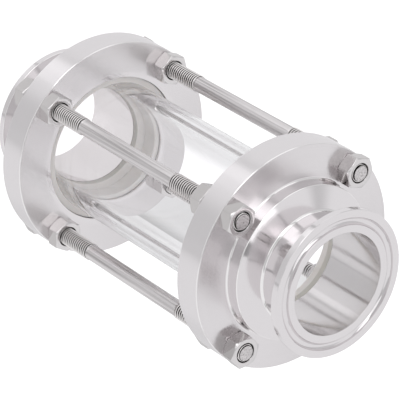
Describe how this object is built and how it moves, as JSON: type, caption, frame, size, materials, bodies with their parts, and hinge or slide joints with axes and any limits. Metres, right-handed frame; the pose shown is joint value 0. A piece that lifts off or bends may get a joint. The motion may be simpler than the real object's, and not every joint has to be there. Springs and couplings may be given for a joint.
{
  "type": "inline sight glass",
  "caption": "Inline sight glass: a clear glass tube clamped between two flanged, polished steel end caps with hygienic clamp ferrules, held by slim tie rods and hexagon nuts.",
  "frame": {"origin": "centre of the lower clamp face, where the part stands", "axes": "+Z along the pipe axis to the upper clamp face; the tie rods stand on the diagonals between X and Y"},
  "size_m": [0.0776, 0.0774, 0.152],
  "materials": {
    "end_cap_steel": "turned and polished stainless steel",
    "rod_steel": "drawn stainless steel rod, satin",
    "nut_steel": "bright stainless steel",
    "tube_glass": "clear borosilicate glass",
    "gasket_rubber": "translucent white silicone rubber"
  },
  "bodies": {
    "root": {"end_cap_bottom": "end_cap_steel", "end_cap_top": "end_cap_steel", "gasket_bottom": "gasket_rubber", "gasket_top": "gasket_rubber", "glass_tube": "tube_glass", "tie_rod_1": "rod_steel", "tie_rod_2": "rod_steel", "tie_rod_3": "rod_steel", "tie_rod_4": "rod_steel", "nut_bottom_outer_1": "nut_steel", "nut_bottom_outer_2": "nut_steel", "nut_bottom_outer_3": "nut_steel", "nut_bottom_outer_4": "nut_steel", "nut_bottom_inner_1": "nut_steel", "nut_bottom_inner_2": "nut_steel", "nut_bottom_inner_3": "nut_steel", "nut_bottom_inner_4": "nut_steel", "nut_top_inner_1": "nut_steel", "nut_top_inner_2": "nut_steel", "nut_top_inner_3": "nut_steel", "nut_top_inner_4": "nut_steel", "nut_top_outer_1": "nut_steel", "nut_top_outer_2": "nut_steel", "nut_top_outer_3": "nut_steel", "nut_top_outer_4": "nut_steel"}
  },
  "joints": []
}
